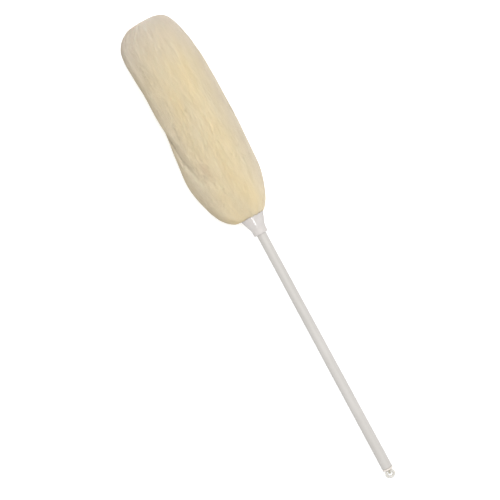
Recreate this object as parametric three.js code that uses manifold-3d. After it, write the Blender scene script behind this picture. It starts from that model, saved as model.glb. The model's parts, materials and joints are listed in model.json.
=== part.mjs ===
// Wool-headed wash wand: a long white plastic handle with a hang ring at one end and, at the
// other, a ferrule that holds a plump sheepskin head. It lies on a flat surface, handle end low,
// resting on the rim of its end plug and on the underside of the wool.
// Millimetres, +Z up. The head points along +X.
import * as THREE from 'three';
import { mergeVertices } from 'three/addons/utils/BufferGeometryUtils.js';
import Module from 'manifold-3d';

const wasm = await Module();
wasm.setup();

// Driving dimensions. Along the wand, x = 0 is the flat end face of the end plug.
const GAP = 0.3; // between pieces that touch
const TILT = THREE.MathUtils.degToRad(4); // the wand's slope as it lies, head end up
const AROUND = 32; // facets round the large turned pieces

const TUBE_START = 2.9;
const TUBE_END = 372;
const TUBE_RADIUS = 7.45; // at the plug
const TUBE_TAPER = 0.8; // radius lost by the time the tube enters the ferrule
const TUBE_WALL = 1.6;

const FLANGE = 2.6; // thickness of the plug's rim
const RIM_ROUNDING = 0.8;
const SPIGOT_END = 17;
const EYE = new THREE.Vector3(-2.5, 0, -0.6); // centre of the hole in the plug's lug
const EYE_RADIUS = 2.8;
const LUG_RADIUS = 4.4;
const LUG_THICKNESS = 2.6;

const RING_RADIUS = 5.2; // to the middle of the ring's wire
const RING_WIRE = 1.8;
const RING_SLACK = 0.5; // the ring's wire hangs this far below the middle of the eye

const LIP = 365; // where the tube enters the ferrule
const COLLAR_RADIUS = 9.9;
const CONE_START = 375;
const CONE_START_RADIUS = 10.9;
const CONE_SLOPE = 0.36; // radius gained per millimetre
const CUP_RIM = 392;
const CUP_FLOOR = 377.2;
const SOCKET_FLOOR = 372.3;

const ROD_START = 300;
const ROD_END = 672;
const ROD_RADIUS = 4.6;
const PIN_X = 374.8;
const PIN_RADIUS = 1;
const PIN_HALF = 10.2;

const PELT_START = 380;
const PELT_END = 671;
const PELT_THICKNESS = 2;
const PELT_INSIDE = ROD_RADIUS + GAP;
const PELT_OUTSIDE = PELT_INSIDE + PELT_THICKNESS;
const PARTING_X = 505; // where the slanted joint between the two pelts crosses the rod
const PARTING_NORMAL = new THREE.Vector3(0.47, -0.48, 0.74).normalize();

const DISC_THICKNESS = 3;
const DISC_RADIUS = 11;
const SCREW_RADIUS = 1.75;
const SCREW_HEAD_RADIUS = 4;
const TACK_RADIUS = 0.7;
const TACK_HEAD_RADIUS = 2.2;
const CORD_RADIUS = 0.7;
const THREAD_RADIUS = 0.45;

// Where each tack is driven: how far along the rod, and its bearing round it (0 is straight up).
const TACKS = {
  neck_tack: [396, 0],
  joint_tack_lower: [478, Math.PI / 2],
  joint_tack_upper: [532, -Math.PI / 2],
  tip_tack: [652, 0],
};
const SEAMS = { seam_lower: [390, 480], seam_upper: [530, 656] }; // where each starts and ends
const BINDINGS = { neck_binding: 382, tip_binding: 661 }; // where each starts

// The head's outline seen from above, [x, half-width], from the neck round to the tip.
const LEFT_OUTLINE = [
  [384, 0], [384.6, 19], [392, 31.2], [410, 44], [438, 53.5], [470, 57.7], [505, 53.3],
  [537, 49.9], [600, 51.3], [650, 53.3], [671, 47.3], [683.5, 33], [687.2, 17], [687.6, 0],
];
const RIGHT_OUTLINE = [
  [384, 0], [384.6, 15.8], [391, 23.2], [411, 33], [440, 41.2], [475, 44.8], [520, 46.2],
  [565, 45.8], [610, 45], [645, 40.6], [668, 33.5], [681, 24.5], [686.5, 12], [687.6, 0],
];
const WOOL_ABOVE = 0.93; // the head's height above the rod, as a share of its half-width
const WOOL_BELOW = 1; // and below it, where the wool hangs fuller
const WOOL_CAVITY = 9.2; // radius of the space round the pelts
const TIP_CAVITY = 678.6; // where the space round the tip disc and its screw ends

const MATERIALS = {
  tube: { color: 0xe6e2dc, roughness: 0.35, metalness: 0 },
  plug: { color: 0xdcd7c4, roughness: 0.45, metalness: 0 },
  ring: { color: 0xe9e6dc, roughness: 0.3, metalness: 0 },
  ferrule: { color: 0xf0ece8, roughness: 0.18, metalness: 0 },
  wood: { color: 0xc8a878, roughness: 0.7, metalness: 0 },
  pelt: { color: 0xd9cbb0, roughness: 0.85, metalness: 0 },
  thread: { color: 0xe8e2d0, roughness: 0.9, metalness: 0 },
  steel: { color: 0xb8b8b8, roughness: 0.3, metalness: 1 },
  wool: { color: 0xddcfaf, roughness: 1, metalness: 0 },
};

// Helpers for closed solids.

function manifoldOf(geometry) {
  const bare = geometry.clone();
  bare.deleteAttribute('normal');
  bare.deleteAttribute('uv');
  const merged = mergeVertices(bare, 1e-4);
  const index = merged.index.array;
  const corners = [];
  for (let i = 0; i < index.length; i += 3) {
    const [a, b, c] = index.slice(i, i + 3);
    if (a !== b && b !== c && c !== a) corners.push(a, b, c);
  }
  return new wasm.Manifold(new wasm.Mesh({
    numProp: 3,
    vertProperties: Float32Array.from(merged.attributes.position.array),
    triVerts: Uint32Array.from(corners),
  }));
}

function geometryOf(manifold) {
  const mesh = manifold.getMesh();
  const geometry = new THREE.BufferGeometry();
  geometry.setAttribute('position', new THREE.BufferAttribute(mesh.vertProperties, 3));
  geometry.setIndex(new THREE.BufferAttribute(mesh.triVerts, 1));
  geometry.computeVertexNormals();
  return geometry;
}

function cut(geometry, ...tools) {
  return geometryOf(tools.reduce((body, tool) => body.subtract(manifoldOf(tool)), manifoldOf(geometry)));
}

// A solid turned about the wand's axis from a closed outline, or one that starts and ends on
// the axis. The outline's own x runs along the wand and its y is the radius, and its outermost
// side is drawn from the head's end towards the handle's.
function turned(outline, facets = AROUND) {
  const points = outline.getPoints(4).map((point) => new THREE.Vector2(point.y, point.x));
  return new THREE.LatheGeometry(points.reverse(), facets).rotateZ(-Math.PI / 2);
}

function cylinder(start, end, radius, facets = 16) {
  const bar = new THREE.CylinderGeometry(radius, radius, end - start, facets);
  return bar.rotateZ(-Math.PI / 2).translate((start + end) / 2, 0, 0);
}

// A cord along a curve, with a six-sided section.
function cord(path, radius, steps) {
  const section = new THREE.Shape();
  section.absarc(0, 0, radius, 0, 2 * Math.PI);
  return new THREE.ExtrudeGeometry(section, {
    extrudePath: path, steps, curveSegments: 3, bevelEnabled: false,
  });
}

function tubeRadius(x) {
  return TUBE_RADIUS - TUBE_TAPER * x / LIP;
}

function coneRadius(x) {
  return CONE_START_RADIUS + CONE_SLOPE * (x - CONE_START);
}

// Handle.

function handleTube() {
  const start = tubeRadius(TUBE_START);
  const end = tubeRadius(TUBE_END);
  const outline = new THREE.Path();
  outline.moveTo(TUBE_START, start - TUBE_WALL);
  outline.lineTo(TUBE_END, end - TUBE_WALL);
  outline.lineTo(TUBE_END, end);
  outline.lineTo(TUBE_START, start);
  outline.closePath();
  return turned(outline);
}

function endPlug() {
  const edge = RIM_ROUNDING;
  const spigot = tubeRadius(SPIGOT_END) - TUBE_WALL - GAP;
  const outline = new THREE.Path();
  outline.moveTo(SPIGOT_END, 0);
  outline.lineTo(SPIGOT_END, spigot - edge);
  outline.lineTo(SPIGOT_END - edge, spigot);
  outline.lineTo(FLANGE, spigot);
  outline.lineTo(FLANGE, TUBE_RADIUS - edge / 2);
  outline.lineTo(FLANGE - edge / 2, TUBE_RADIUS);
  outline.lineTo(edge, TUBE_RADIUS);
  outline.quadraticCurveTo(0, TUBE_RADIUS, 0, TUBE_RADIUS - edge);
  outline.lineTo(0, 0);
  return geometryOf(manifoldOf(turned(outline)).add(manifoldOf(lug())));
}

// The plug's flat lug, on edge, with the eye that the ring hangs in.
function lug() {
  const plate = new THREE.Shape();
  plate.moveTo(FLANGE / 2, EYE.z + LUG_RADIUS);
  plate.absarc(EYE.x, EYE.z, LUG_RADIUS, Math.PI / 2, 3 * Math.PI / 2);
  plate.lineTo(FLANGE / 2, EYE.z - LUG_RADIUS);
  const blank = new THREE.ExtrudeGeometry(plate, {
    depth: LUG_THICKNESS, curveSegments: 12, bevelEnabled: false,
  });
  blank.translate(0, 0, -LUG_THICKNESS / 2).rotateX(Math.PI / 2);
  const eye = new THREE.CylinderGeometry(EYE_RADIUS, EYE_RADIUS, 2 * LUG_THICKNESS, 24);
  return cut(blank, eye.translate(EYE.x, 0, EYE.z));
}

function hangRing() {
  return new THREE.TorusGeometry(RING_RADIUS, RING_WIRE, 12, 28).translate(-RING_RADIUS, 0, 0);
}

// Ferrule: a collar over the tube, a web that the rod passes through, and a cup for the pelt.
function ferrule() {
  const edge = 0.9;
  const wall = 1.4;
  const blend = 3; // how far the rounding from collar to cone reaches
  const socket = tubeRadius(LIP) + GAP;
  const outline = new THREE.Path();
  outline.moveTo(LIP, socket);
  outline.lineTo(SOCKET_FLOOR, socket);
  outline.lineTo(SOCKET_FLOOR, ROD_RADIUS + GAP);
  outline.lineTo(CUP_FLOOR, ROD_RADIUS + GAP);
  outline.lineTo(CUP_FLOOR, coneRadius(CUP_FLOOR) - wall - edge);
  outline.lineTo(CUP_FLOOR + edge, coneRadius(CUP_FLOOR + edge) - wall);
  outline.lineTo(CUP_RIM, coneRadius(CUP_RIM) - wall);
  outline.lineTo(CUP_RIM, coneRadius(CUP_RIM));
  outline.lineTo(CONE_START + blend / 2, coneRadius(CONE_START + blend / 2));
  outline.quadraticCurveTo(CONE_START, CONE_START_RADIUS, CONE_START - blend, COLLAR_RADIUS + 0.5);
  outline.lineTo(LIP + edge, COLLAR_RADIUS);
  outline.quadraticCurveTo(LIP, COLLAR_RADIUS, LIP, COLLAR_RADIUS - edge);
  outline.closePath();
  return cut(turned(outline), crossBar(PIN_RADIUS + GAP, 2 * COLLAR_RADIUS));
}

function crossBar(radius, half) {
  return new THREE.CylinderGeometry(radius, radius, 2 * half, 12).translate(PIN_X, 0, 0);
}

function ferrulePin() {
  return crossBar(PIN_RADIUS, PIN_HALF);
}

// Inside the head.

const TACK_HEAD_UNDERSIDE = PELT_OUTSIDE + GAP;
const TACK_DEPTH = 5;

function tackAt([x, bearing], upright) {
  return upright.rotateX(bearing).translate(x, 0, 0);
}

function tackHole(place) {
  const drill = new THREE.CylinderGeometry(TACK_RADIUS + GAP, TACK_RADIUS + GAP, 2 * TACK_DEPTH, 8);
  return tackAt(place, drill.rotateX(Math.PI / 2).translate(0, 0, TACK_HEAD_UNDERSIDE));
}

function tack(place) {
  const profile = [
    [0, -TACK_DEPTH], [TACK_RADIUS, -TACK_DEPTH + 1.2], [TACK_RADIUS, 0],
    [TACK_HEAD_RADIUS, 0], [TACK_HEAD_RADIUS - 0.4, 0.6], [0, 0.8],
  ].map(([radius, height]) => new THREE.Vector2(radius, height));
  const nail = new THREE.LatheGeometry(profile, 10).rotateX(Math.PI / 2);
  return tackAt(place, nail.translate(0, 0, TACK_HEAD_UNDERSIDE));
}

function coreRod() {
  const pilot = cylinder(ROD_END - 22, ROD_END + 1, SCREW_RADIUS + GAP, 12);
  const pinHole = crossBar(PIN_RADIUS + GAP, 2 * ROD_RADIUS);
  const holes = Object.values(TACKS).map(tackHole);
  return cut(cylinder(ROD_START, ROD_END, ROD_RADIUS, 24), pilot, pinHole, ...holes);
}

// A block that fills one side of the slanted joint: side 1 is the tip's side, -1 the neck's.
function besideJoint(side) {
  const size = 700;
  const direction = PARTING_NORMAL.clone().multiplyScalar(side);
  const block = new THREE.BoxGeometry(size, size, size).translate(0, 0, size / 2 + GAP / 2);
  const turn = new THREE.Quaternion().setFromUnitVectors(new THREE.Vector3(0, 0, 1), direction);
  return block.applyQuaternion(turn).translate(PARTING_X, 0, 0);
}

// A sleeve of sheepskin round the rod, open along its underside where it is stitched.
function pelt(side) {
  const bore = cylinder(PELT_START - 1, PELT_END + 1, PELT_INSIDE, 24);
  const slit = new THREE.BoxGeometry(PELT_END - PELT_START + 2, 1.2, PELT_OUTSIDE);
  slit.translate((PELT_START + PELT_END) / 2, 0, -PELT_OUTSIDE);
  const holes = Object.values(TACKS).map(tackHole);
  const skin = cut(cylinder(PELT_START, PELT_END, PELT_OUTSIDE, 24), bore, slit, ...holes);
  return geometryOf(manifoldOf(skin).intersect(manifoldOf(besideJoint(side))));
}

// Zigzag stitching that closes a pelt's slit.
function seam([start, end]) {
  const stitch = 5;
  const reach = 2.4;
  const radius = PELT_OUTSIDE + GAP + THREAD_RADIUS;
  const points = [];
  for (let x = start; x <= end; x += stitch) {
    const across = points.length % 2 ? reach : -reach;
    points.push(new THREE.Vector3(x, across, -Math.hypot(radius, across * 0.45)));
  }
  const path = new THREE.CatmullRomCurve3(points, false, 'catmullrom', 0.3);
  return cord(path, THREAD_RADIUS, 3 * (points.length - 1));
}

class Winding extends THREE.Curve {
  constructor(start, pitch, turns, radius) {
    super();
    Object.assign(this, { start, pitch, turns, radius });
  }

  getPoint(t) {
    const angle = 2 * Math.PI * this.turns * t;
    return new THREE.Vector3(
      this.start + this.pitch * this.turns * t,
      this.radius * Math.cos(angle),
      this.radius * Math.sin(angle),
    );
  }
}

// Cord wound three times round a pelt's end.
function binding(start) {
  const turns = 3;
  const pitch = 2 * CORD_RADIUS + GAP;
  const path = new Winding(start, pitch, turns, PELT_OUTSIDE + GAP + CORD_RADIUS);
  return cord(path, CORD_RADIUS, 16 * turns);
}

function tipDisc() {
  const disc = cylinder(ROD_END + GAP, ROD_END + GAP + DISC_THICKNESS, DISC_RADIUS, 28);
  return cut(disc, cylinder(ROD_END - 1, ROD_END + 5, SCREW_RADIUS + GAP, 12));
}

function tipScrew() {
  const under = ROD_END + DISC_THICKNESS + 2 * GAP;
  const outline = new THREE.Path();
  outline.moveTo(under + 2.3, 0);
  outline.quadraticCurveTo(under + 2.2, SCREW_HEAD_RADIUS - 1, under, SCREW_HEAD_RADIUS);
  outline.lineTo(under, SCREW_RADIUS);
  outline.lineTo(ROD_END - 16, SCREW_RADIUS);
  outline.lineTo(ROD_END - 20, 0);
  const screw = turned(outline, 16);
  const slot = new THREE.BoxGeometry(1.6, 1, 2 * SCREW_HEAD_RADIUS + 1).translate(under + 2.3, 0, 0);
  return cut(screw, slot);
}

// Wool.

// Height, in the wand's own frame, of the surface that the wand lies on: it touches the plug's
// rim where the rounding of its end begins.
function floorBelow(x) {
  const rimDrop = TUBE_RADIUS * Math.cos(TILT) - RIM_ROUNDING * Math.sin(TILT);
  return -(rimDrop + x * Math.sin(TILT)) / Math.cos(TILT);
}

// A point of the head's surface: along runs from 0 at the neck to 1 at the tip, and bearing
// goes round the wand from its left side, over the top.
function woolPoint(left, right, along, bearing) {
  const l = left.getPoint(along);
  const r = right.getPoint(along);
  const side = Math.cos(bearing);
  const lift = Math.sin(bearing);
  const x = THREE.MathUtils.lerp(r.x, l.x, (1 + side) / 2);
  const y = side * (side > 0 ? l.y : r.y);
  const z = lift * (l.y + r.y) / 2 * (lift > 0 ? WOOL_ABOVE : WOOL_BELOW);
  return [x, y, Math.max(z, floorBelow(x))];
}

function woolBody() {
  const rings = 34;
  const facets = 36;
  const left = new THREE.SplineCurve(LEFT_OUTLINE.map(([x, y]) => new THREE.Vector2(x, y)));
  const right = new THREE.SplineCurve(RIGHT_OUTLINE.map(([x, y]) => new THREE.Vector2(x, y)));
  const places = [...woolPoint(left, right, 0, 0)];
  for (let i = 1; i < rings; i += 1) {
    for (let k = 0; k < facets; k += 1) {
      places.push(...woolPoint(left, right, i / rings, 2 * Math.PI * k / facets));
    }
  }
  places.push(...woolPoint(left, right, 1, 0));
  const tip = 1 + (rings - 1) * facets;
  const corners = [];
  for (let k = 0; k < facets; k += 1) {
    const next = (k + 1) % facets;
    corners.push(0, 1 + next, 1 + k);
    for (let i = 0; i < rings - 2; i += 1) {
      const near = 1 + i * facets;
      const far = near + facets;
      corners.push(near + k, near + next, far + next, near + k, far + next, far + k);
    }
    corners.push(tip, tip - facets + k, tip - facets + next);
  }
  const geometry = new THREE.BufferGeometry();
  geometry.setAttribute('position', new THREE.Float32BufferAttribute(places, 3));
  geometry.setIndex(corners);
  return geometry;
}

// The space inside the wool, taken up by the ferrule's cup, the pelts and the tip disc.
function woolCavity() {
  const clearance = 0.4;
  const neck = 375; // well outside the wool, so that its neck is left open
  const tipSpace = ROD_END - 6;
  const outline = new THREE.Path();
  outline.moveTo(neck, 0);
  outline.lineTo(TIP_CAVITY, 0);
  outline.lineTo(TIP_CAVITY, DISC_RADIUS + clearance);
  outline.lineTo(tipSpace, DISC_RADIUS + clearance);
  outline.lineTo(tipSpace, WOOL_CAVITY);
  outline.lineTo(CUP_RIM + clearance, WOOL_CAVITY);
  outline.lineTo(CUP_RIM + clearance, coneRadius(CUP_RIM) + 2 * clearance);
  outline.lineTo(neck, coneRadius(neck) + clearance);
  outline.lineTo(neck, 0);
  return turned(outline);
}

function fleece(side) {
  const hollow = manifoldOf(woolBody()).subtract(manifoldOf(woolCavity()));
  return geometryOf(hollow.intersect(manifoldOf(besideJoint(side))));
}

// The whole wand.

const wand = new THREE.Group();

function add(name, material, geometry, parent = wand) {
  const mesh = new THREE.Mesh(geometry, new THREE.MeshStandardMaterial(MATERIALS[material]));
  mesh.name = name;
  parent.add(mesh);
  return mesh;
}

add('handle_tube', 'tube', handleTube());
add('end_plug', 'plug', endPlug());
add('ferrule', 'ferrule', ferrule());
add('ferrule_pin', 'steel', ferrulePin());
add('core_rod', 'wood', coreRod());
add('pelt_lower', 'pelt', pelt(-1));
add('pelt_upper', 'pelt', pelt(1));
Object.entries(SEAMS).forEach(([name, ends]) => add(name, 'thread', seam(ends)));
Object.entries(BINDINGS).forEach(([name, start]) => add(name, 'thread', binding(start)));
Object.entries(TACKS).forEach(([name, place]) => add(name, 'steel', tack(place)));
add('tip_disc', 'wood', tipDisc());
add('tip_screw', 'steel', tipScrew());
add('fleece_lower', 'wool', fleece(-1));
add('fleece_upper', 'wool', fleece(1));

// The ring hangs from the bottom of the eye, its far side resting on the surface.
const hinge = new THREE.Group();
hinge.position.set(EYE.x, 0, EYE.z - RING_SLACK);
const hingeHeight = (hinge.position.z - floorBelow(EYE.x)) * Math.cos(TILT);
hinge.rotation.y = TILT - Math.asin((hingeHeight - RING_WIRE - 0.1) / (2 * RING_RADIUS));
add('hang_ring', 'ring', hangRing(), hinge);
wand.add(hinge);
wand.rotation.y = -TILT;

// The origin is the middle of the underside of the bounding box.
const box = new THREE.Box3().setFromObject(wand, true);
const middle = box.getCenter(new THREE.Vector3());
wand.position.set(-middle.x, -middle.y, -box.min.z);

const model = new THREE.Group();
model.add(wand);

export default model;
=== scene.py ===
"""The looks of a wool-headed wash wand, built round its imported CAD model.

The CAD model gives the places and outer shapes. This script makes the smooth plastic parts, the
hang ring and the combed wool as detailed meshes, with node materials, in a plain studio."""

import json
import math

import bmesh
import bpy
import numpy as np
from mathutils import Matrix, Vector, noise


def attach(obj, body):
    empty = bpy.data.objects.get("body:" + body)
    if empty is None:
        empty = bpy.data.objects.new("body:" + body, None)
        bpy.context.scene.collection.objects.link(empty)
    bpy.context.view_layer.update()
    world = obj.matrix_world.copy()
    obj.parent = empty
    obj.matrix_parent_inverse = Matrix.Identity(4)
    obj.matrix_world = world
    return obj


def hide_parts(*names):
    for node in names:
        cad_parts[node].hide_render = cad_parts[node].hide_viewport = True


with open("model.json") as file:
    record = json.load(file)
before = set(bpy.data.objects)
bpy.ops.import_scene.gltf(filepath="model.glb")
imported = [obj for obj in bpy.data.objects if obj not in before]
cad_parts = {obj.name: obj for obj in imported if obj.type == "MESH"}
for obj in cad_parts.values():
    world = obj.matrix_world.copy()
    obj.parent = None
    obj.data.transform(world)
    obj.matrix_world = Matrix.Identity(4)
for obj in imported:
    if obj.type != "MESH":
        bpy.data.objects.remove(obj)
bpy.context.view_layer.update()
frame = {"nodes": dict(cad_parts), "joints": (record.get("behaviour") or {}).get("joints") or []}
SCENE = bpy.context.scene
MM = 0.001
TURN = 2 * math.pi

# The wand's own frame: x runs from the plug's end face towards the head, y to the left seen
# from above, and z up. All sizes below are in millimetres in this frame.
TUBE_START, TUBE_END = 2.9, 372.0
TUBE_RADIUS, TUBE_TAPER, TUBE_WALL = 7.45, 0.8, 1.6
LIP = 365.0
COLLAR_RADIUS = 9.9
CONE_START, CONE_START_RADIUS, CONE_SLOPE = 375.0, 10.9, 0.36
CONE_WALL = 1.4
CUP_RIM, CUP_FLOOR, SOCKET_FLOOR = 392.0, 377.2, 372.3
PIN_X, PIN_HOLE = 374.8, 1.3
ROD_RADIUS, GAP = 4.6, 0.3
FLANGE, SPIGOT_END = 2.6, 17.0
EYE_X, EYE_Z, EYE_RADIUS = -2.5, -0.6, 2.8
LUG_RADIUS, LUG_THICKNESS = 4.4, 2.6
RING_RADIUS, RING_WIRE, RING_LIFT = 5.25, 2.0, 0.2
RING_THINNING, RING_SWELL = 0.97, 0.05

# The wool head's outline seen from above, (x, half-width), from the neck round to the tip.
LEFT_OUTLINE = [
    (384, 0), (384.6, 19), (392, 31.2), (410, 44), (438, 53.5), (470, 57.8), (505, 54.8),
    (537, 51.1), (600, 51.3), (650, 53.3), (671.5, 47.6), (684.2, 33.4), (687.3, 18), (687.6, 0),
]
RIGHT_OUTLINE = [
    (384, 0), (384.6, 15.8), (391, 23.2), (411, 33), (440, 41.2), (475, 44.8), (520, 46.2),
    (565, 45.8), (610, 45), (645, 40.6), (669, 33.8), (682, 25), (686.8, 13), (687.6, 0),
]
WOOL_ABOVE, WOOL_BELOW = 0.93, 1.0
PARTING = np.array([505.0, 0.0, 0.0])
PARTING_NORMAL = np.array([0.47, -0.48, 0.74]) / np.linalg.norm([0.47, -0.48, 0.74])
WOOL_CAVITY, DISC_CAVITY, DISC_CAVITY_START, TIP_CAVITY = 9.3, 11.5, 666.0, 678.6


def tube_radius(x):
    return TUBE_RADIUS - TUBE_TAPER * x / LIP


def cone_radius(x):
    return CONE_START_RADIUS + CONE_SLOPE * (x - CONE_START)


def vertices_of(node):
    mesh = frame["nodes"][node].data
    places = np.empty(len(mesh.vertices) * 3, np.float32)
    mesh.vertices.foreach_get("co", places)
    return places.reshape(-1, 3).astype(float)


def wand_frame():
    """The matrix from the wand's own millimetres to the row frame, read from the CAD tube."""
    places = vertices_of("handle_tube")
    middle = places.mean(0)
    along = np.linalg.svd(places - middle, full_matrices=False)[2][0]
    along *= np.sign(along[0])
    start = middle + along * ((places - middle) @ along).min()
    left = np.array([0.0, 1.0, 0.0])
    up = np.cross(along, left)
    matrix = np.eye(4)
    matrix[:3, :3] = np.column_stack([along, left, up]) * MM
    matrix[:3, 3] = start - along * TUBE_START * MM
    return matrix


WAND = wand_frame()
WAND_TURN = Matrix((WAND[:3, :3] / MM).tolist()).to_euler()


def to_row(places):
    """Points from the wand's own frame to the row frame."""
    places = np.asarray(places, float)
    return places @ WAND[:3, :3].T + WAND[:3, 3]


# Camera, floor and lights

VIEW_MIDDLE = (0.0155, 0.0179)
VIEW_WIDTH = 0.6705
VIEW_HEIGHT = 0.035
LENS = 100.0
SENSOR = 36.0
HANDLE_SLANT = (0.4752, 0.8799)
FLOOR_HALF_WIDTH = 6.0
FLOOR_GLOW = 0.38


def make_camera():
    """Straight above the wand, turned so that the handle runs down to the right."""
    across, along = HANDLE_SLANT
    camera = bpy.data.objects.new("camera", bpy.data.cameras.new("camera"))
    camera.data.lens = LENS
    camera.data.sensor_width = SENSOR
    height = VIEW_HEIGHT + LENS * VIEW_WIDTH / SENSOR
    camera.matrix_world = Matrix((
        (-across, along, 0, VIEW_MIDDLE[0]),
        (-along, -across, 0, VIEW_MIDDLE[1]),
        (0, 0, 1, height),
        (0, 0, 0, 1),
    ))
    SCENE.collection.objects.link(camera)
    SCENE.camera = camera


def make_light(name, place, size, power, colour=(1, 1, 1)):
    data = bpy.data.lights.new(name, "AREA")
    data.shape = "RECTANGLE"
    data.size, data.size_y = size
    data.energy = power
    data.color = colour
    light = bpy.data.objects.new(name, data)
    light.location = place
    light.rotation_euler = (-Vector(place)).to_track_quat("-Z", "Y").to_euler()
    light.visible_camera = False
    SCENE.collection.objects.link(light)


def make_studio():
    """A big soft key light, a small one that gleams on the collar, a long one along the handle, and
    a pale surrounding that the camera sees as white."""
    make_light("key", (0.4, -0.6, 2.3), (1.2, 1.2), 33, (1, 0.985, 0.96))
    make_light("gleam", (-1.6, 0.16, 1.5), (0.5, 0.17), 5)
    make_light("strip", (0.0, 0.42, 2.3), (1.6, 0.12), 6)
    world = bpy.data.worlds.new("studio")
    world.use_nodes = True
    tree = world.node_tree
    lit = tree.nodes["Background"]
    lit.inputs["Color"].default_value = (1.0, 0.985, 0.965, 1)
    lit.inputs["Strength"].default_value = 0.6
    seen = tree.nodes.new("ShaderNodeBackground")
    seen.inputs["Color"].default_value = (1, 1, 1, 1)
    rays = tree.nodes.new("ShaderNodeLightPath")
    pick = tree.nodes.new("ShaderNodeMixShader")
    tree.links.new(rays.outputs["Is Camera Ray"], pick.inputs[0])
    tree.links.new(lit.outputs[0], pick.inputs[1])
    tree.links.new(seen.outputs[0], pick.inputs[2])
    tree.links.new(pick.outputs[0], tree.nodes["World Output"].inputs["Surface"])
    SCENE.world = world
    SCENE.view_settings.view_transform = "Standard"


def make_floor():
    """A pale floor with a faint glow, which keeps it white round the wand. The glossy pieces don't
    mirror it, so their edges stay darker than it is."""
    low, high = -FLOOR_HALF_WIDTH, FLOOR_HALF_WIDTH
    mesh = bpy.data.meshes.new("floor")
    mesh.from_pydata([(low, low, 0), (high, low, 0), (high, high, 0), (low, high, 0)], [], [(0, 1, 2, 3)])
    finish = Nodes("floor", Base_Color=(0.89, 0.9, 0.91, 1), Roughness=0.9)
    finish.shader.inputs["Emission Color"].default_value = (1, 1, 1, 1)
    finish.shader.inputs["Emission Strength"].default_value = FLOOR_GLOW
    mesh.materials.append(finish.material)
    floor = bpy.data.objects.new("floor", mesh)
    floor.visible_glossy = False
    SCENE.collection.objects.link(floor)


# Materials


class Nodes:
    """A node material being built: its shader, and short ways to add and join nodes."""

    def __init__(self, name, **sockets):
        self.material = bpy.data.materials.new(name)
        self.material.use_nodes = True
        self.tree = self.material.node_tree
        self.shader = self.tree.nodes["Principled BSDF"]
        self.set(self.shader, **sockets)

    def set(self, node, **sockets):
        for socket, value in sockets.items():
            self.feed(node.inputs[socket.replace("_", " ")], value)

    def feed(self, socket, value):
        if isinstance(value, bpy.types.NodeSocket):
            self.tree.links.new(value, socket)
        else:
            socket.default_value = value

    def add(self, kind, settings=None, **sockets):
        node = self.tree.nodes.new("ShaderNode" + kind)
        for key, value in (settings or {}).items():
            setattr(node, key, value)
        self.set(node, **sockets)
        return node

    def place(self, x, y, z):
        """The point's place in the wand's own frame, counted in steps of x, y and z millimetres."""
        return self.add(
            "Mapping",
            {"vector_type": "TEXTURE"},
            Vector=self.add("TexCoord").outputs["Object"],
            Location=WAND[:3, 3],
            Rotation=WAND_TURN,
            Scale=(x * MM, y * MM, z * MM),
        ).outputs["Vector"]

    def noise(self, vector, detail=3.0, roughness=0.5):
        node = self.add("TexNoise", Vector=vector, Scale=1, Detail=detail, Roughness=roughness)
        return node.outputs["Fac"]

    def ramp(self, value, *stops):
        node = self.add("ValToRGB", Fac=value)
        elements = node.color_ramp.elements
        while len(elements) < len(stops):
            elements.new(0.5)
        for element, (position, colour) in zip(elements, stops):
            element.position = position
            element.color = (*colour, 1.0)
        return node.outputs["Color"]

    def level(self, value, low, high, start=0.0, end=1.0):
        """A value from start to end, brought to the range low to high."""
        node = self.add("MapRange", Value=value)
        self.set(node, From_Min=start, From_Max=end, To_Min=low, To_Max=high)
        return node.outputs["Result"]

    def mix(self, share, first, second, blend="MIX"):
        """The first colour with a share of the second, which may be a plain (r, g, b)."""
        node = self.add("Mix", {"data_type": "RGBA", "blend_type": blend})
        self.feed(node.inputs[0], share)
        self.feed(node.inputs[6], first)
        plain = not isinstance(second, bpy.types.NodeSocket)
        self.feed(node.inputs[7], (*second, 1.0) if plain else second)
        return node.outputs[2]

    def combine(self, first, second, how="ADD"):
        node = self.add("Math", {"operation": how})
        self.feed(node.inputs[0], first)
        self.feed(node.inputs[1], second)
        return node.outputs[0]

    def bump(self, height, millimetres, strength=1.0):
        node = self.add("Bump", Strength=strength, Distance=millimetres * MM, Height=height)
        self.tree.links.new(node.outputs["Normal"], self.shader.inputs["Normal"])

    def surface(self, colour, roughness):
        self.set(self.shader, Base_Color=colour, Roughness=roughness)


def tube_plastic():
    """Extruded white plastic: faint lines along the tube, cloudy yellowing and fine scuffs."""
    m = Nodes("extruded_plastic", Specular_IOR_Level=0.5)
    lines = m.noise(m.place(90, 0.9, 0.9), 3)
    clouds = m.noise(m.place(60, 14, 14), 4)
    scuffs = m.noise(m.place(5, 1.2, 1.2), 6, 0.7)
    shade = m.ramp(clouds, (0.3, (0.52, 0.505, 0.485)), (0.7, (0.575, 0.56, 0.545)))
    colour = m.mix(m.level(lines, 0, 0.35), shade, (0.49, 0.475, 0.45))
    m.surface(colour, m.level(scuffs, 0.3, 0.5, 0.3, 0.7))
    m.bump(m.combine(lines, m.level(scuffs, 0, 0.3)), 0.05)
    return m.material


def moulded_plastic(name, light, dark, gloss, end=None):
    """Injection moulded plastic: cloudy colour, fine scuffs and a slightly uneven skin. Beyond the plug's
    end face it may turn to another colour, painted shade for the lug."""
    m = Nodes(name, Coat_Weight=0.25, Coat_Roughness=0.08)
    clouds = m.noise(m.place(9, 7, 7), 4)
    skin = m.noise(m.place(1.6, 1.6, 1.6), 2)
    scuffs = m.noise(m.place(2.5, 0.5, 0.5), 6, 0.7)
    colour = m.ramp(clouds, (0.3, dark), (0.7, light))
    # Painted shade: beyond the plug's end face the colour turns to the given end colour, which stands in
    # for shade.
    if end:
        x = m.add("SeparateXYZ", Vector=m.place(1, 1, 1)).outputs["X"]
        colour = m.mix(m.level(x, 1, 0, -0.8, 0.1), colour, end)
    m.surface(colour, m.level(scuffs, gloss, gloss + 0.16, 0.35, 0.75))
    m.bump(m.combine(skin, m.level(scuffs, 0, 0.2)), 0.03)
    return m.material


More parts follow.
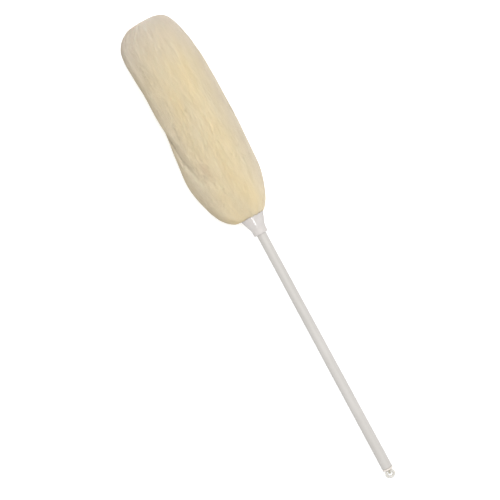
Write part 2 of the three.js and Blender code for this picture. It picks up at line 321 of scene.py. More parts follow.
def milky_plastic():
    """The ring's soft, cloudy plastic, which lets light through."""
    m = Nodes("milky_plastic", Subsurface_Weight=0.25, Subsurface_Scale=0.001, Coat_Weight=0.2)
    m.set(m.shader, Subsurface_Radius=(1.0, 0.9, 0.7))
    clouds = m.noise(m.place(2.4, 2.4, 2.4), 4)
    scuffs = m.noise(m.place(0.7, 0.7, 0.7), 5, 0.7)
    colour = m.ramp(clouds, (0.3, (0.61, 0.6, 0.56)), (0.7, (0.7, 0.69, 0.665)))
    m.surface(colour, m.level(scuffs, 0.2, 0.42, 0.3, 0.7))
    m.bump(clouds, 0.06)
    return m.material


def wood():
    """Turned hardwood with its grain along the rod."""
    m = Nodes("hardwood")
    grain = m.noise(m.place(60, 1.1, 1.1), 6, 0.6)
    pores = m.noise(m.place(6, 0.25, 0.25), 3)
    dark, middle, light = (0.3, 0.18, 0.09), (0.52, 0.36, 0.2), (0.62, 0.45, 0.27)
    colour = m.ramp(grain, (0.3, dark), (0.55, middle), (0.8, light))
    colour = m.mix(m.level(pores, 0, 0.5, 0.5, 0.8), colour, (0.22, 0.13, 0.06))
    m.surface(colour, m.level(grain, 0.5, 0.75))
    m.bump(m.combine(grain, pores), 0.15)
    return m.material


def skin_side():
    """The flesh side of sheepskin: suede nap with pale and tan patches."""
    m = Nodes("sheepskin_backing", Sheen_Weight=0.3, Sheen_Roughness=0.5)
    patches = m.noise(m.place(14, 8, 8), 5, 0.6)
    nap = m.noise(m.place(0.6, 0.6, 0.6), 6, 0.75)
    colour = m.ramp(patches, (0.3, (0.5, 0.38, 0.25)), (0.7, (0.68, 0.58, 0.43)))
    m.surface(colour, m.level(nap, 0.75, 1.0))
    m.bump(m.combine(nap, m.level(patches, 0, 0.6)), 0.3)
    return m.material


def twisted_thread():
    """Waxed cotton: slanting twist bands and fuzz."""
    m = Nodes("waxed_thread", Sheen_Weight=0.2)
    bands = m.add("TexWave", {"bands_direction": "DIAGONAL"}, Vector=m.place(1.1, 1.1, 1.1))
    m.set(bands, Scale=1, Distortion=1.5)
    fuzz = m.noise(m.place(0.3, 0.3, 0.3), 4, 0.7)
    twist = bands.outputs["Fac"]
    colour = m.ramp(twist, (0.1, (0.42, 0.36, 0.27)), (0.6, (0.68, 0.62, 0.5)))
    m.surface(m.mix(m.level(fuzz, 0, 0.4), colour, (0.8, 0.76, 0.66)), m.level(fuzz, 0.6, 0.95))
    m.bump(m.combine(twist, fuzz), 0.25)
    return m.material


def drawn_steel():
    """Bright steel with drawing lines, dulled in patches."""
    m = Nodes("drawn_steel", Metallic=1.0)
    lines = m.noise(m.place(6, 0.25, 0.25), 3)
    stain = m.noise(m.place(2, 2, 2), 5, 0.65)
    colour = m.ramp(stain, (0.35, (0.36, 0.34, 0.32)), (0.6, (0.6, 0.59, 0.58)))
    m.surface(colour, m.level(m.combine(lines, stain), 0.25, 0.6, 0.6, 1.4))
    m.bump(lines, 0.04)
    return m.material


# The wool's colours, with painted shade down both sides and beside the fold.
CREAM, YELLOW, STREAK = (0.765, 0.67, 0.48), (0.785, 0.665, 0.43), (0.715, 0.62, 0.415)
LEFT_FLANK_SHADE, RIGHT_FLANK_SHADE, TIP = (0.68, 0.605, 0.465), (0.64, 0.565, 0.435), (0.63, 0.57, 0.52)
FOLD_SHADE, FOLD_SHADE_PLACE, FOLD_SHADE_SIZE = (0.63, 0.5, 0.37), (476, 25, 38), (26, 13, 40)


def combed_wool(name, scatter):
    """Natural wool: cream with yellower patches and duller streaks along the fibres, painted shade down
    both sides, greyer at the tip, and painted shade, brownish, in one place beside the fold. The mesh
    brings comb, the place along and round the fibres, and tone, each strand's own shade."""
    m = Nodes(name, Sheen_Weight=0.4, Sheen_Roughness=0.5, Subsurface_Weight=scatter)
    m.set(m.shader, Sheen_Tint=(1.0, 0.93, 0.86, 1), Specular_IOR_Level=0.2, Subsurface_Scale=0.003)
    comb = m.add("Attribute", {"attribute_name": "comb"}).outputs["Vector"]
    tone = m.add("Attribute", {"attribute_name": "tone"}).outputs["Fac"]
    place = m.add("SeparateXYZ", Vector=m.place(1, 1, 1)).outputs

    def streaks(along, across, detail=3.0):
        scaled = m.add("Mapping", Vector=comb, Scale=(1 / along, 1 / across, 1 / across))
        return m.noise(scaled.outputs["Vector"], detail)

    colour = m.ramp(streaks(70, 22), (0.35, CREAM), (0.65, YELLOW))
    colour = m.mix(m.level(streaks(45, 4), 0, 0.35, 0.35, 0.7), colour, STREAK)
    # Painted shade: the colour turns darker and greyer down the left and right sides, where less light
    # falls.
    colour = m.mix(m.level(place["Y"], 0, 0.9, 22, 44), colour, LEFT_FLANK_SHADE)
    colour = m.mix(m.level(place["Y"], 0, 0.9, -18, -40), colour, RIGHT_FLANK_SHADE)
    # Painted shade: a brownish darkening in one place beside the fold, strongest at its middle.
    away = m.add("VectorMath", {"operation": "DISTANCE"})
    m.feed(away.inputs[0], m.place(*FOLD_SHADE_SIZE))
    m.feed(away.inputs[1], [at / size for at, size in zip(FOLD_SHADE_PLACE, FOLD_SHADE_SIZE)])
    colour = m.mix(m.level(away.outputs["Value"], 0.5, 0, 0, 1), colour, FOLD_SHADE)
    colour = m.mix(m.level(place["X"], 0, 0.75, 610, 684), colour, TIP)
    fibres = m.level(streaks(25, 1.3), 0.97, 1.03, 0.3, 0.7)
    shade = m.combine(m.level(tone, 0.95, 1.03), fibres, "MULTIPLY")
    grey = m.add("CombineColor", Red=shade, Green=shade, Blue=shade).outputs["Color"]
    m.surface(m.mix(1.0, colour, grey, "MULTIPLY"), m.level(streaks(20, 2), 0.75, 1.0))
    m.bump(m.combine(streaks(12, 0.7, 4), streaks(30, 2.5)), 0.5, 0.4)
    return m.material


# Meshes


def mesh_object(name, places, faces, material):
    mesh = bpy.data.meshes.new(name)
    mesh.from_pydata(np.asarray(places).tolist(), [], faces)
    mesh.materials.append(material)
    face_outwards(mesh)
    mesh.shade_smooth()
    piece = bpy.data.objects.new(name, mesh)
    SCENE.collection.objects.link(piece)
    return piece


def face_outwards(mesh):
    body = bmesh.new()
    body.from_mesh(mesh)
    bmesh.ops.recalc_face_normals(body, faces=body.faces)
    body.to_mesh(mesh)
    body.free()


def lathe(outline, facets=96):
    """Points and faces of a body turned about the wand's axis. The outline's points are
    (x, radius). It closes on itself unless both of its ends lie on the axis."""
    angles = np.arange(facets) * TURN / facets
    places, rings = [], []
    for x, radius in outline:
        if radius < 1e-9:
            rings.append([len(places)])
            places.append((x, 0.0, 0.0))
            continue
        rings.append(list(range(len(places), len(places) + facets)))
        places.extend((x, radius * math.cos(a), radius * math.sin(a)) for a in angles)
    on_axis = len(rings[0]) == 1
    faces = []
    for near, far in zip(rings, rings[1:] if on_axis else rings[1:] + rings[:1]):
        for k in range(facets):
            n = (k + 1) % facets
            corners = [near[k % len(near)], near[n % len(near)], far[n % len(far)], far[k % len(far)]]
            faces.append(list(dict.fromkeys(corners)))
    return places, faces


def arc(x, radius, size, start, end, steps=5):
    """Points of a rounded corner about (x, radius), with angles in degrees from +x to outwards."""
    angles = [math.radians(start + (end - start) * i / steps) for i in range(steps + 1)]
    return [(x + size * math.cos(a), radius + size * math.sin(a)) for a in angles]


def smooth_shade(piece, degrees):
    """Smooth shading that keeps the edges sharper than the given angle."""
    mesh = piece.data
    body = bmesh.new()
    body.from_mesh(mesh)
    for edge in body.edges:
        edge.smooth = edge.calc_face_angle(0) < math.radians(degrees)
    body.to_mesh(mesh)
    body.free()


def baked(piece):
    """Applies the piece's modifiers to its mesh."""
    shown = piece.evaluated_get(bpy.context.evaluated_depsgraph_get())
    mesh = bpy.data.meshes.new_from_object(shown)
    piece.modifiers.clear()
    piece.data = mesh


def finish_piece(piece, body, slot, *nodes):
    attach(piece, body)
    if nodes:
        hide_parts(*nodes)


# Handle


def make_tube():
    edge, bands = 0.5, 25
    start, end = tube_radius(TUBE_START), tube_radius(TUBE_END)
    outline = [(TUBE_START, start - edge)]
    outline += [(x, tube_radius(x)) for x in np.linspace(TUBE_START + edge, TUBE_END - edge, bands)]
    outline += [(TUBE_END, end - edge), (TUBE_END, end - TUBE_WALL), (TUBE_START, start - TUBE_WALL)]
    places, faces = lathe(outline)
    piece = mesh_object("tube_body", to_row(places), faces, tube_plastic())
    smooth_shade(piece, 40)
    finish_piece(piece, "wand", "white_plastic", "handle_tube")


def plug_places():
    """The plug's flange, with its outer edge rounded more than its inner one, and its spigot, which
    goes into the tube."""
    spigot = tube_radius(SPIGOT_END) - TUBE_WALL - GAP
    edge, inner_edge, rim, root = 0.8, 0.6, 1.6, 0.3
    outline = [(0, 0), (0, TUBE_RADIUS - edge - rim), (0, TUBE_RADIUS - edge)]
    outline += arc(edge, TUBE_RADIUS - edge, edge, 180, 90)
    outline += arc(FLANGE - inner_edge, TUBE_RADIUS - inner_edge, inner_edge, 90, 0)
    outline += [(FLANGE, spigot + root / 3), (FLANGE + root, spigot)]
    outline += arc(SPIGOT_END - edge, spigot - edge, edge, 90, 0)
    outline += [(SPIGOT_END, 0)]
    return lathe(outline)


def lug_places(steps=96):
    """The plug's flat lug with the eye through it, its edges rounded over."""
    half, edge = LUG_THICKNESS / 2, 0.45
    root = FLANGE / 2 - EYE_X
    places = []
    corners = [(0, -1), (1, -1), (1, 1), (0, 1)]
    turns = [(180, 270), (270, 360), (0, 90), (90, 180)]
    for k in range(steps):
        a = TURN * k / steps
        reach = LUG_RADIUS
        if math.cos(a) > 0:
            reach = min(LUG_RADIUS / max(abs(math.sin(a)), 1e-6), root / math.cos(a))
        for (outer, side), (start, end) in zip(corners, turns):
            r = reach - edge if outer else EYE_RADIUS + edge
            for along, across in arc(r, side * (half - edge), edge, start, end, 4):
                places.append((EYE_X + along * math.cos(a), across, EYE_Z + along * math.sin(a)))
    loop = len(places) // steps
    faces = []
    for k in range(steps):
        n = (k + 1) % steps
        for i in range(loop):
            j = (i + 1) % loop
            faces.append([k * loop + i, k * loop + j, n * loop + j, n * loop + i])
    return places, faces


def joined(*parts):
    places, faces = [], []
    for part_places, part_faces in parts:
        faces += [[corner + len(places) for corner in face] for face in part_faces]
        places += list(part_places)
    return places, faces


def make_plug():
    places, faces = joined(plug_places(), lug_places())
    # The lug's dark olive colour is painted shade, standing in for the shade round the lug where the ring
    # hangs.
    light, dark, lug = (0.76, 0.71, 0.67), (0.68, 0.63, 0.58), (0.38, 0.355, 0.28)
    finish = moulded_plastic("moulded_nylon", light, dark, 0.3, lug)
    piece = mesh_object("plug_body", to_row(places), faces, finish)
    smooth_shade(piece, 50)
    finish_piece(piece, "wand", "nylon", "end_plug")


def make_ring():
    """A closed ring, a little thicker on its far side, where the CAD ring hangs. It is raised by
    what it is thicker than the CAD ring, so that it stays on the floor."""
    places = vertices_of("hang_ring")
    centre = places.mean(0)
    axis = np.linalg.svd(places - centre, full_matrices=False)[2][2]
    centre[2] += RING_LIFT * MM
    hinge = np.array(frame["joints"][0]["pos_m"])
    out = centre - hinge
    out -= axis * (out @ axis)
    out /= np.linalg.norm(out)
    side = np.cross(axis, out)
    around, sides = 96, 32
    points = []
    for k in range(around):
        a = TURN * k / around
        spoke = out * math.cos(a) + side * math.sin(a)
        wire = RING_WIRE * (RING_THINNING + RING_SWELL * math.cos(a))
        for i in range(sides):
            b = TURN * i / sides
            reach = RING_RADIUS + wire * math.cos(b)
            points.append(centre + (spoke * reach + axis * wire * math.sin(b)) * MM)
    faces = []
    for k in range(around):
        n = (k + 1) % around
        for i in range(sides):
            j = (i + 1) % sides
            faces.append([k * sides + i, k * sides + j, n * sides + j, n * sides + i])
    piece = mesh_object("ring_body", points, faces, milky_plastic())
    finish_piece(piece, "ring", "clear_ring", "hang_ring")


def make_ferrule():
    """The collar, which curves over into the cone. Inside are the tube's socket, the rod's bore and
    the cup that takes the skin's end."""
    edge, small, inner = 0.9, 0.3, 1.0
    curve_start, curve_end = CONE_START - 7, CONE_START + 3
    collar_slope = 0.55 * (CONE_START_RADIUS - COLLAR_RADIUS) / (CONE_START - LIP)
    socket, bore = tube_radius(LIP) + GAP, ROD_RADIUS + GAP
    rim = cone_radius(CUP_RIM)
    outline = [(LIP, socket + small)]
    outline += arc(LIP + edge, COLLAR_RADIUS - edge, edge, 180, 90)
    for t in np.linspace(0, 1, 13):
        x = curve_start * (1 - t) + curve_end * t
        collar = COLLAR_RADIUS + (x - LIP) * collar_slope
        outline.append((x, collar * (1 - t * t) + cone_radius(x) * t * t))
    outline += [(x, cone_radius(x)) for x in np.linspace(curve_end + 2, CUP_RIM - small, 10)]
    outline += [(CUP_RIM, rim - small), (CUP_RIM, rim - CONE_WALL)]
    outline += [(CUP_FLOOR + inner, cone_radius(CUP_FLOOR + inner) - CONE_WALL)]
    outline += [(CUP_FLOOR, cone_radius(CUP_FLOOR) - CONE_WALL - inner), (CUP_FLOOR, bore)]
    outline += [(SOCKET_FLOOR, bore), (SOCKET_FLOOR, socket), (LIP + small, socket)]
    places, faces = lathe(outline)
    finish = moulded_plastic("glossy_moulding", (0.61, 0.585, 0.575), (0.565, 0.54, 0.525), 0.14)
    piece = mesh_object("ferrule_body", to_row(places), faces, finish)
    drill_pin_hole(piece)
    smooth_shade(piece, 38)
    finish_piece(piece, "wand", "gloss_white", "ferrule")


def drill_pin_hole(piece):
    reach = 40
    places, faces = lathe([(-reach, 0), (-reach, PIN_HOLE), (reach, PIN_HOLE), (reach, 0)], 32)
    places = [(PIN_X + y, x, z) for x, y, z in places]
    drill = mesh_object("drill", to_row(places), faces, piece.data.materials[0])
    cut = piece.modifiers.new("pin_hole", "BOOLEAN")
    cut.operation = "DIFFERENCE"
    cut.object = drill
    cut.solver = "EXACT"
    baked(piece)
    bpy.data.objects.remove(drill)


# Wool

# The surface's rows and columns, and the outline's first share, fine steps and gap at the tip.
ROWS, COLUMNS = 300, 480
FIRST_SHARE, OUTLINE_STEPS, TIP_GAP = 0.002, 1400, 0.6
# The combed wool's own space: its radius, how soon it narrows at the tip, and how the fibres sway
# to the sides (radians, length, phase).
COMB_RADIUS, TIP_ROUNDING = 48.0, 30.0
SWAYS = [(0.07, 61, 0), (0.03, 23, 1)]
# The wool's gaps to the collar's cone: at the hem, on its outer side and inside.
HEM_GAP, CUP_GAP, LINING_GAP = 0.5, 0.4, 0.7
# How far the wool stays above the floor, and over what height the bare shape, the wool with its
# relief and the strands curve onto it.
SKIN_LIFT, FLATTENING, SETTLING, STRAND_SETTLING = 0.3, 1.2, 0.25, 0.1

# Waves in the wool's surface: (height, length along the fibres, width across them, ridged). Their
# middle lies RELIEF_DEPTH under the outline. They fade at the hem, and to TIP_SHARE at the tip.
WAVES = [
    (0.9, 46, 40, False), (0.08, 75, 10, True), (0.04, 40, 4.6, True), (0.04, 26, 2.1, False),
    (0.06, 15, 1.25, False),
]
RELIEF_DEPTH = 1.6
HEM_FADE, TIP_FADE, TIP_SHARE = 9, 55, 0.15

# The hem's uneven edge (height, length of its waves), and how far the wool near the hem is combed
# back from the handle: (distance, width of the stretch).
HEM_WAVES = (1.1, 9)
HEM_SHIFTS = [(2.8, 6.5), (4.5, 26)]

# Folds in the wool: (x, bearing in degrees up from the left side, strength), and the depth and
# widths of each.
CREASE = [
    (440, 50, 0), (458, 49, 0.2), (470, 46, 0.7), (484, 40, 1), (501, 28, 1), (520, 19, 1),
    (534, 8, 1), (552, -7, 0.8), (585, -30, 0.5), (610, -45, 0),
]
CREASE_SIZE = (2.4, 4.5, 10)
HOLLOW = [
    (495, 50, 0), (512, 45, 0.5), (530, 41, 1), (560, 39, 1), (605, 36, 1), (640, 35, 0.8),
    (665, 35, 0),
]
HOLLOW_SIZE = (1.1, 6, 10)

# Loose strands. The ranges are of length, half-thickness and height over the wool, and a small
# share of the strands stand higher.
STRANDS, STRAND_PIECES, STRAND_STEPS = 41000, 5, 6
STRAND_LENGTH, STRAND_RADIUS, STRAND_HEIGHT = (16, 42), (0.08, 0.18), (0.03, 0.22)
HIGH_SHARE, HIGHER_BY, ROOT_DEPTH = 0.015, 0.4, 0.5
# How far strands stray sideways, and how far and often they waver.
STRAND_DRIFT, STRAND_WAVER, STRAND_WAVES = 0.9, 0.25, 5
# The first roots' distance from the hem, how far a strand's end may lie past it, and how far
# strands rooted in the last stretch before the tip may start beyond it.
FIRST_ROOT, PAST_HEM, TIP_STRETCH, BEYOND_TIP = 7, (-2, 0.8), 14, 22
# What is added to the girth when strands are shared out, so that the narrow tip is covered too.
EXTRA_GIRTH, LEAST_GIRTH = 12, 4
# The part of a half wave that a strand's height follows, and how much lower it is at the hem.
ARCH_START, ARCH_END = 0.12, 0.87
HEM_ROWS, HEM_HEIGHT = 4, 0.4
# How far a strand's streaks are taken from beside it, and the shade of the wool underneath.
COMB_SCATTER, WOOL_TONE = 1.2, 0.4


def through(points, share):
    """The smooth curve through the points, at shares 0 to 1 of the way along it."""
    points = np.array(points, float)
    last = len(points) - 1
    place = np.clip(share, 0, 1) * last
    start = np.minimum(place.astype(int), last - 1)
    t = (place - start)[..., None]
    here, there = points[start], points[start + 1]
    leave = (there - points[np.maximum(start - 1, 0)]) / 2
    arrive = (points[np.minimum(start + 2, last)] - here) / 2
    bend = 2 * (here - there) + leave + arrive
    swell = 3 * (there - here) - 2 * leave - arrive
    return ((bend * t + swell) * t + leave) * t + here


def plain_wool(share, bearing):
    """The head's smooth shape before its locks. The share runs from the neck to the tip, and the
    bearing goes round from the left side, over the top."""
    left, right = through(LEFT_OUTLINE, share), through(RIGHT_OUTLINE, share)
    middle, lean = (left + right) / 2, (left - right) / 2
    side, lift = np.cos(bearing), np.sin(bearing)
    x = middle[..., 0] + lean[..., 0] * side
    y = side * (middle[..., 1] + lean[..., 1] * np.sin(side * math.pi / 2))
    depth = (WOOL_ABOVE + WOOL_BELOW) / 2 + (WOOL_ABOVE - WOOL_BELOW) / 2 * np.sin(lift * math.pi / 2)
    return np.stack([x, y, lift * middle[..., 1] * depth], -1)


def above_floor(places, clearance, softness):
    """The points, in the wand's frame, raised so that they stay clear of the floor."""
    height = to_row(places)[..., 2] / MM - clearance
    raised = softness * np.logaddexp(0, height / softness)
    return places + (raised - height)[..., None] * WAND[2, :3] / MM


def ease(value, start, end):
    t = np.clip((value - start) / (end - start), 0, 1)
    return t * t * (3 - 2 * t)


def bell(value, width):
    return np.exp(-(value / width) ** 2)


def wave(places, steps, seed):
    """Smooth noise at the points, about -0.7 to 0.7, with features about steps long."""
    scaled = (places / np.array(steps, float) + seed * 17.3).reshape(-1, 3)
    return np.array([noise.noise(place) for place in scaled.tolist()]).reshape(places.shape[:-1])


def normals_of(grid):
    along = np.gradient(grid, axis=0)
    around = np.roll(grid, -1, 1) - np.roll(grid, 1, 1)
    outward = np.cross(around, along)
    return outward / np.maximum(np.linalg.norm(outward, axis=-1, keepdims=True), 1e-9)


def wool_grid():
    """The head's outer surface as rows from the hem to the tip, evenly spaced along each column,
    each point's run (its distance along the column, negative and 0 at the tip) and the bearings."""
    bearing = np.arange(COLUMNS) * TURN / COLUMNS
    fine = np.linspace(FIRST_SHARE, 1, OUTLINE_STEPS)[:, None]
    places = above_floor(plain_wool(fine, bearing[None, :]), SKIN_LIFT, FLATTENING)
    steps = np.linalg.norm(np.diff(places, axis=0), axis=-1)
    length = np.vstack([np.zeros(COLUMNS), np.cumsum(steps, 0)])
    clear = np.hypot(places[..., 1], places[..., 2]) > cone_radius(places[..., 0]) + HEM_GAP
    grid, run = np.empty((ROWS, COLUMNS, 3)), np.empty((ROWS, COLUMNS))
    for k in range(COLUMNS):
        hem = length[np.argmax(clear[:, k]), k]
        run[:, k] = np.linspace(hem, length[-1, k] - TIP_GAP, ROWS)
        for axis in range(3):
            grid[:, k, axis] = np.interp(run[:, k], length[:, k], places[:, k, axis])
        run[:, k] -= length[-1, k]
    return grid, run, bearing


def comb_places(run, bearing):
    """Places in the combed wool's own space: x along the fibres, and y and z round the head."""
    turn = bearing + sum(size * np.sin(run / length + phase) for size, length, phase in SWAYS)
    radius = COMB_RADIUS * (1 - np.exp(run / TIP_ROUNDING))
    return np.stack([run, radius * np.cos(turn), radius * np.sin(turn)], -1)


def fold(places, bearing, route, depth, below, above):
    """Depth of one long fold at each place. Its sides slope back over the widths below and above
    it, and the wool beside it bulges a little on the upper side."""
    x, angles, strength = np.array(route, float).T
    angle = np.degrees((bearing + math.pi) % TURN - math.pi)
    past = np.radians(angle - np.interp(places[..., 0], x, angles)) * COMB_RADIUS
    share = np.interp(places[..., 0], x, strength)
    hollow = np.where(past < 0, bell(past, below), bell(past, above))
    return share * depth * (hollow - 0.5 * bell(past - 2 * above, above))


def relief(places, run, bearing):
    """Height of the locks and fibres over the plain shape."""
    comb = comb_places(run, bearing)
    height = -RELIEF_DEPTH
    for seed, (size, along, across, ridged) in enumerate(WAVES, 1):
        waves = wave(comb, (along, across, across), seed)
        height = height + size * (np.abs(waves) if ridged else waves)
    at_tip = TIP_SHARE + (1 - TIP_SHARE) * ease(-run, 0, TIP_FADE)
    edges = np.minimum(ease(run - run[:1], 0, HEM_FADE), at_tip)
    folds = fold(places, bearing, CREASE, *CREASE_SIZE) + fold(places, bearing, HOLLOW, *HOLLOW_SIZE)
    return height * edges - folds


def wool_surface():
    """The wool's outer surface with its relief and uneven hem, clear of the collar and the floor."""
    grid, run, bearing = wool_grid()
    grid = grid + normals_of(grid) * relief(grid, run, bearing)[..., None]
    from_hem = run - run[:1]
    height, length = HEM_WAVES
    ragged = height * wave(comb_places(run[:1], bearing[None, :]), [length] * 3, len(WAVES) + 1)
    (near, near_width), (far, far_width) = HEM_SHIFTS
    grid[..., 0] += (ragged + near) * bell(from_hem, near_width) + far * bell(from_hem, far_width)
    radius = np.hypot(grid[..., 1], grid[..., 2])
    clear = np.where(grid[..., 0] < CUP_RIM + 1, cone_radius(grid[..., 0]) + CUP_GAP, 0)
    grid[..., 1:] *= (np.maximum(radius, clear) / radius)[..., None]
    return above_floor(grid, SKIN_LIFT, SETTLING), run, bearing


def lining(bearing):
    """Rows of the wool's inner side, from the tip's end of its cavity out to the hem."""
    profile = [
        (TIP_CAVITY, DISC_CAVITY), (DISC_CAVITY_START, DISC_CAVITY), (DISC_CAVITY_START, WOOL_CAVITY),
        (CUP_RIM + 1, WOOL_CAVITY), (CUP_RIM + 1, cone_radius(CUP_RIM) + LINING_GAP),
    ]
    around = [np.cos(bearing), np.sin(bearing)]
    return np.array([np.stack([np.full(COLUMNS, x), *(r * a for a in around)], -1) for x, r in profile])


def wool_mesh(surface, run, bearing, material):
    """One closed body of wool, open along the middle for the rod and skins."""
    inner = lining(bearing)
    rows = np.concatenate([inner, surface])
    inner_comb = np.repeat(comb_places(run[:1], bearing[None, :]), len(inner), 0)
    comb = np.concatenate([inner_comb, comb_places(run, bearing[None, :])])
    places = np.vstack([[TIP_CAVITY, 0, 0], rows.reshape(-1, 3), surface[-1].mean(0) + [0.25, 0, 0]])
    comb = np.vstack([comb[0, 0], comb.reshape(-1, 3), comb[-1].mean(0)])
    last = len(places) - 1
    index = 1 + np.arange(len(rows) * COLUMNS).reshape(-1, COLUMNS)
    beside = np.roll(index, -1, 1)
    quads = np.stack([index[:-1], beside[:-1], beside[1:], index[1:]], -1).reshape(-1, 4).tolist()
    caps = [[0, b, a] for a, b in zip(index[0], beside[0])]
    caps += [[last, a, b] for a, b in zip(index[-1], beside[-1])]
    mesh = bpy.data.meshes.new("wool")
    mesh.from_pydata(places.tolist(), [], quads + caps)
    mesh.materials.append(material)
    mesh.attributes.new("comb", "FLOAT_VECTOR", "POINT").data.foreach_set("vector", comb.ravel())
    tone = mesh.attributes.new("tone", "FLOAT", "POINT")
    tone.data.foreach_set("value", np.full(len(places), WOOL_TONE))
    return mesh


def wool_half(whole, side, name):
    """The wool on one side of the joint between the two skins: 1 is the tip's side."""
    body = bmesh.new()
    body.from_mesh(whole)
    everything = body.verts[:] + body.edges[:] + body.faces[:]
    cut = bmesh.ops.bisect_plane(
        body, geom=everything, plane_co=PARTING, plane_no=PARTING_NORMAL * side, clear_inner=True
    )
    rim = [part for part in cut["geom_cut"] if isinstance(part, bmesh.types.BMEdge)]
    bmesh.ops.triangle_fill(body, edges=rim, use_beauty=False)
    bmesh.ops.recalc_face_normals(body, faces=body.faces)
    for edge in rim:
        edge.smooth = False
    body.transform(Matrix(WAND.tolist()))
    mesh = bpy.data.meshes.new(name)
    body.to_mesh(mesh)
    body.free()
    mesh.materials.append(whole.materials[0])
    return mesh


def on_grid(grid, row, column):
    """Values of the grid between its points."""
    row = np.clip(row, 0, ROWS - 1.001)
    i, k = np.floor(row).astype(int), np.floor(column).astype(int)
    down, across = (row - i)[..., None], (column - k)[..., None]
    left, right = k % COLUMNS, (k + 1) % COLUMNS
    near = grid[i, left] * (1 - across) + grid[i, right] * across
    far = grid[i + 1, left] * (1 - across) + grid[i + 1, right] * across
    return near * (1 - down) + far * down


def strand_paths(surface, run, random):
    """Middle lines of loose strands: each starts in the wool and is combed down towards the neck.
    Some of those at the tip start on its far side and cross over it."""
    rows = np.arange(ROWS)
    girth = np.hypot(surface[..., 1], surface[..., 2]).mean(1)
    share = np.cumsum(girth + EXTRA_GIRTH) / (girth + EXTRA_GIRTH).sum()
    spacing = -run.mean(1)[0] / ROWS
    root = np.maximum(np.interp(random.random(STRANDS), share, rows), FIRST_ROOT / spacing)
    near_tip = root > ROWS - TIP_STRETCH / spacing
    root += near_tip * random.uniform(0, BEYOND_TIP, STRANDS) / spacing
    column = random.random(STRANDS) * COLUMNS
    length = random.uniform(*STRAND_LENGTH, STRANDS)
    length = np.minimum(length, root * spacing + random.uniform(*PAST_HEM, STRANDS))
    t = np.linspace(0, 1, STRAND_STEPS)[None, :]
    row = root[:, None] - length[:, None] / spacing * t
    stray = random.normal(0, STRAND_DRIFT, (STRANDS, 1)) * t
    stray = stray + random.normal(0, STRAND_WAVER, (STRANDS, 1)) * np.sin(STRAND_WAVES * t)
    stray *= COLUMNS / (TURN * np.maximum(np.interp(row, rows, girth), LEAST_GIRTH))
    past_hem = np.minimum(row, 0) * spacing
    across = row > ROWS - 1
    row = np.where(across, 2 * (ROWS - 1) - row, row)
    column = column[:, None] + stray + across * COLUMNS / 2
    raised = random.uniform(*STRAND_HEIGHT, STRANDS)
    raised += HIGHER_BY * (random.random(STRANDS) > 1 - HIGH_SHARE)
    arch = np.sin(math.pi * (ARCH_START + (ARCH_END - ARCH_START) * t))
    lift = raised[:, None] * arch - ROOT_DEPTH * (t == 0)
    places = on_grid(surface, row, column)
    outward = on_grid(normals_of(surface), row, column)
    outward[row < HEM_ROWS] *= HEM_HEIGHT
    places = places + outward * lift[..., None]
    places[..., 0] += past_hem
    return above_floor(places, SKIN_LIFT, STRAND_SETTLING), outward, row, column


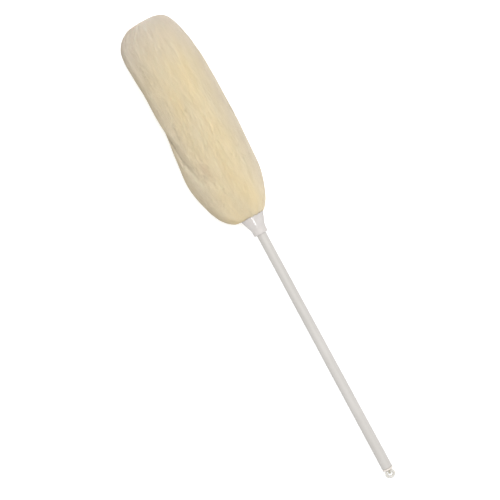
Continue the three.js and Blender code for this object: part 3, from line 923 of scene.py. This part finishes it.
def strand_mesh(name, paths, outward, comb, tone, radius, material):
    """Thin closed strands with three sides, pointed at both ends."""
    count, steps = paths.shape[:2]
    along = np.gradient(paths, axis=1)
    side = np.cross(along, outward)
    side /= np.maximum(np.linalg.norm(side, axis=-1, keepdims=True), 1e-9)
    over = np.cross(side, along)
    over /= np.maximum(np.linalg.norm(over, axis=-1, keepdims=True), 1e-9)
    swell = np.sin(np.linspace(0.25, math.pi - 0.35, steps))[1:-1]
    rings = []
    for corner in range(3):
        a = TURN * corner / 3
        offset = side * math.cos(a) + over * math.sin(a)
        rings.append(paths[:, 1:-1] + offset[:, 1:-1] * (radius[:, None] * swell[None, :])[..., None])
    rings = np.stack(rings, 2).reshape(count, -1, 3)
    places = np.concatenate([paths[:, :1], rings, paths[:, -1:]], 1)
    size = places.shape[1]
    faces = []
    for ring in range(steps - 3):
        for corner in range(3):
            a, b = 1 + 3 * ring + corner, 1 + 3 * ring + (corner + 1) % 3
            faces += [[a, b, b + 3], [a, b + 3, a + 3]]
    for corner in range(3):
        a, b = 1 + corner, 1 + (corner + 1) % 3
        faces += [[0, b, a], [size - 1, size - 4 + corner, size - 4 + (corner + 1) % 3]]
    index = (np.array(faces)[None] + (np.arange(count) * size)[:, None, None]).reshape(-1, 3)
    mesh = bpy.data.meshes.new(name)
    mesh.from_pydata(to_row(places.reshape(-1, 3)).tolist(), [], index.tolist())
    mesh.materials.append(material)
    per_point = np.repeat(comb[:, None], size, 1)
    mesh.attributes.new("comb", "FLOAT_VECTOR", "POINT").data.foreach_set("vector", per_point.ravel())
    mesh.attributes.new("tone", "FLOAT", "POINT").data.foreach_set("value", np.repeat(tone, size))
    mesh.shade_smooth()
    return mesh


def make_strands(surface, run):
    """The loose strands, shared out over a few pieces from the neck to the tip."""
    random = np.random.default_rng(11)
    paths, outward, row, column = strand_paths(surface, run, random)
    middle = STRAND_STEPS // 2
    turn = column[:, middle] * TURN / COLUMNS
    comb = comb_places(-np.interp(row[:, middle], np.arange(ROWS), -run.mean(1)), turn)
    comb += random.normal(0, COMB_SCATTER, comb.shape)
    tone = random.random(STRANDS)
    radius = random.uniform(*STRAND_RADIUS, STRANDS)
    finish = combed_wool("loose_wool", 0.0)
    order = np.argsort(paths[:, middle, 0])
    for k, part in enumerate(np.array_split(order, STRAND_PIECES)):
        name = f"wool_strands_{k + 1}"
        facts = [values[part] for values in (paths, outward, comb, tone, radius)]
        piece = bpy.data.objects.new(name, strand_mesh(name, *facts, finish))
        SCENE.collection.objects.link(piece)
        finish_piece(piece, "wand", "wool")


def make_wool():
    surface, run, bearing = wool_surface()
    whole = wool_mesh(surface, run, bearing, combed_wool("combed_wool", 0.25))
    for name, side in (("lower", -1), ("upper", 1)):
        piece = bpy.data.objects.new("wool_" + name, wool_half(whole, side, "wool_" + name))
        SCENE.collection.objects.link(piece)
        finish_piece(piece, "wand", "wool", "fleece_" + name)
    make_strands(surface, run)


# Inner pieces, which keep their CAD shapes

INNER_PIECES = {
    wood: ["core_rod", "tip_disc"],
    skin_side: ["pelt_lower", "pelt_upper"],
    twisted_thread: ["seam_lower", "seam_upper", "neck_binding", "tip_binding"],
    drawn_steel: [
        "ferrule_pin", "neck_tack", "joint_tack_lower", "joint_tack_upper", "tip_tack", "tip_screw",
    ],
}


def finish_inner_pieces():
    for make_finish, nodes in INNER_PIECES.items():
        finish = make_finish()
        for node in nodes:
            mesh = frame["nodes"][node].data
            mesh.materials.clear()
            mesh.materials.append(finish)


make_camera()
make_studio()
make_floor()
make_tube()
make_plug()
make_ring()
make_ferrule()
make_wool()
finish_inner_pieces()
